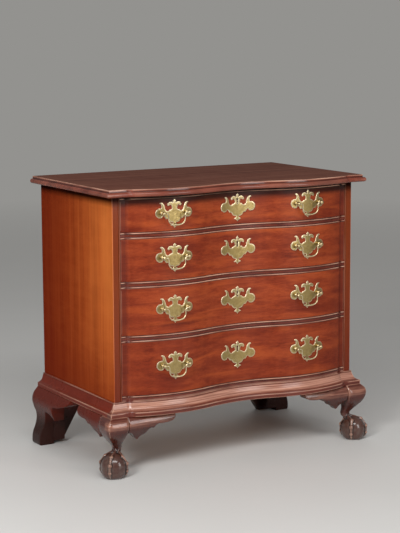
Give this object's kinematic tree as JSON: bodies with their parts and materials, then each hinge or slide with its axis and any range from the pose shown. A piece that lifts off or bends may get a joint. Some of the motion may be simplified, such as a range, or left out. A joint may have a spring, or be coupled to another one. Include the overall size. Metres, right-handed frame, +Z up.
{
  "type": "chest of drawers",
  "caption": "Oxbow-front chest of graduated drawers on ball-and-claw feet, with a moulded top, beaded openings, scalloped brass plates and swinging bails.",
  "frame": {"origin": "on the floor, at the middle of the chest's width and depth", "axes": "+X to the right as seen from the front, +Y towards the back, +Z up"},
  "size_m": [0.928, 0.557, 0.84],
  "materials": {
    "mahogany_top": "polished",
    "mahogany_case": "polished",
    "mahogany_front": "polished",
    "mahogany_rail": "polished",
    "mahogany_foot": "polished",
    "pine": "unfinished",
    "brass": "satin",
    "iron": "dark"
  },
  "bodies": {
    "case": {"top_board": "mahogany_top", "side_left": "mahogany_case", "side_right": "mahogany_case", "back_boards": "pine", "case_bottom": "pine", "top_rails": "mahogany_rail", "rail_bottom": "mahogany_rail", "divider_1": "mahogany_rail", "divider_2": "mahogany_rail", "divider_3": "mahogany_rail", "drawer_runners": "pine", "drawer_stops": "pine", "base_moulding_front": "mahogany_case", "base_moulding_left": "mahogany_case", "base_moulding_right": "mahogany_case", "foot_front_left": "mahogany_foot", "foot_front_right": "mahogany_foot", "knee_brackets": "mahogany_foot", "foot_rear_left": "mahogany_foot", "foot_rear_right": "mahogany_foot"},
    "drawer_1": {"drawer_1_front": "mahogany_front", "drawer_1_sides": "pine", "drawer_1_back": "pine", "drawer_1_bottom": "pine", "drawer_1_plates": "brass", "drawer_1_posts": "brass", "drawer_1_lock": "iron"},
    "bail_1_left": {"drawer_1_bail_left": "brass"},
    "bail_1_right": {"drawer_1_bail_right": "brass"},
    "bolt_1": {"drawer_1_lock_bolt": "iron"},
    "drawer_2": {"drawer_2_front": "mahogany_front", "drawer_2_sides": "pine", "drawer_2_back": "pine", "drawer_2_bottom": "pine", "drawer_2_plates": "brass", "drawer_2_posts": "brass", "drawer_2_lock": "iron"},
    "bail_2_left": {"drawer_2_bail_left": "brass"},
    "bail_2_right": {"drawer_2_bail_right": "brass"},
    "bolt_2": {"drawer_2_lock_bolt": "iron"},
    "drawer_3": {"drawer_3_front": "mahogany_front", "drawer_3_sides": "pine", "drawer_3_back": "pine", "drawer_3_bottom": "pine", "drawer_3_plates": "brass", "drawer_3_posts": "brass", "drawer_3_lock": "iron"},
    "bail_3_left": {"drawer_3_bail_left": "brass"},
    "bail_3_right": {"drawer_3_bail_right": "brass"},
    "bolt_3": {"drawer_3_lock_bolt": "iron"},
    "drawer_4": {"drawer_4_front": "mahogany_front", "drawer_4_sides": "pine", "drawer_4_back": "pine", "drawer_4_bottom": "pine", "drawer_4_plates": "brass", "drawer_4_posts": "brass", "drawer_4_lock": "iron"},
    "bail_4_left": {"drawer_4_bail_left": "brass"},
    "bail_4_right": {"drawer_4_bail_right": "brass"},
    "bolt_4": {"drawer_4_lock_bolt": "iron"}
  },
  "joints": [
    {"name": "drawer_1_slide", "type": "slide", "parent": "case", "child": "drawer_1", "axis": [0, -1, 0], "range_m": [0, 0.33]},
    {"name": "bail_1_left_swing", "type": "hinge", "parent": "drawer_1", "child": "bail_1_left", "pos_m": [-0.232, -0.2576, 0.765], "axis": [-1, 0, 0], "range_deg": [-12, 100]},
    {"name": "bail_1_right_swing", "type": "hinge", "parent": "drawer_1", "child": "bail_1_right", "pos_m": [0.232, -0.2576, 0.765], "axis": [-1, 0, 0], "range_deg": [-12, 100]},
    {"name": "bolt_1_throw", "type": "slide", "parent": "drawer_1", "child": "bolt_1", "axis": [0, 0, 1], "range_m": [0, 0.006]},
    {"name": "drawer_2_slide", "type": "slide", "parent": "case", "child": "drawer_2", "axis": [0, -1, 0], "range_m": [0, 0.33]},
    {"name": "bail_2_left_swing", "type": "hinge", "parent": "drawer_2", "child": "bail_2_left", "pos_m": [-0.232, -0.2576, 0.6365], "axis": [-1, 0, 0], "range_deg": [-12, 100]},
    {"name": "bail_2_right_swing", "type": "hinge", "parent": "drawer_2", "child": "bail_2_right", "pos_m": [0.232, -0.2576, 0.6365], "axis": [-1, 0, 0], "range_deg": [-12, 100]},
    {"name": "bolt_2_throw", "type": "slide", "parent": "drawer_2", "child": "bolt_2", "axis": [0, 0, 1], "range_m": [0, 0.006]},
    {"name": "drawer_3_slide", "type": "slide", "parent": "case", "child": "drawer_3", "axis": [0, -1, 0], "range_m": [0, 0.33]},
    {"name": "bail_3_left_swing", "type": "hinge", "parent": "drawer_3", "child": "bail_3_left", "pos_m": [-0.232, -0.2576, 0.48575], "axis": [-1, 0, 0], "range_deg": [-12, 100]},
    {"name": "bail_3_right_swing", "type": "hinge", "parent": "drawer_3", "child": "bail_3_right", "pos_m": [0.232, -0.2576, 0.48575], "axis": [-1, 0, 0], "range_deg": [-12, 100]},
    {"name": "bolt_3_throw", "type": "slide", "parent": "drawer_3", "child": "bolt_3", "axis": [0, 0, 1], "range_m": [0, 0.006]},
    {"name": "drawer_4_slide", "type": "slide", "parent": "case", "child": "drawer_4", "axis": [0, -1, 0], "range_m": [0, 0.33]},
    {"name": "bail_4_left_swing", "type": "hinge", "parent": "drawer_4", "child": "bail_4_left", "pos_m": [-0.232, -0.2576, 0.318], "axis": [-1, 0, 0], "range_deg": [-12, 100]},
    {"name": "bail_4_right_swing", "type": "hinge", "parent": "drawer_4", "child": "bail_4_right", "pos_m": [0.232, -0.2576, 0.318], "axis": [-1, 0, 0], "range_deg": [-12, 100]},
    {"name": "bolt_4_throw", "type": "slide", "parent": "drawer_4", "child": "bolt_4", "axis": [0, 0, 1], "range_m": [0, 0.006]}
  ]
}
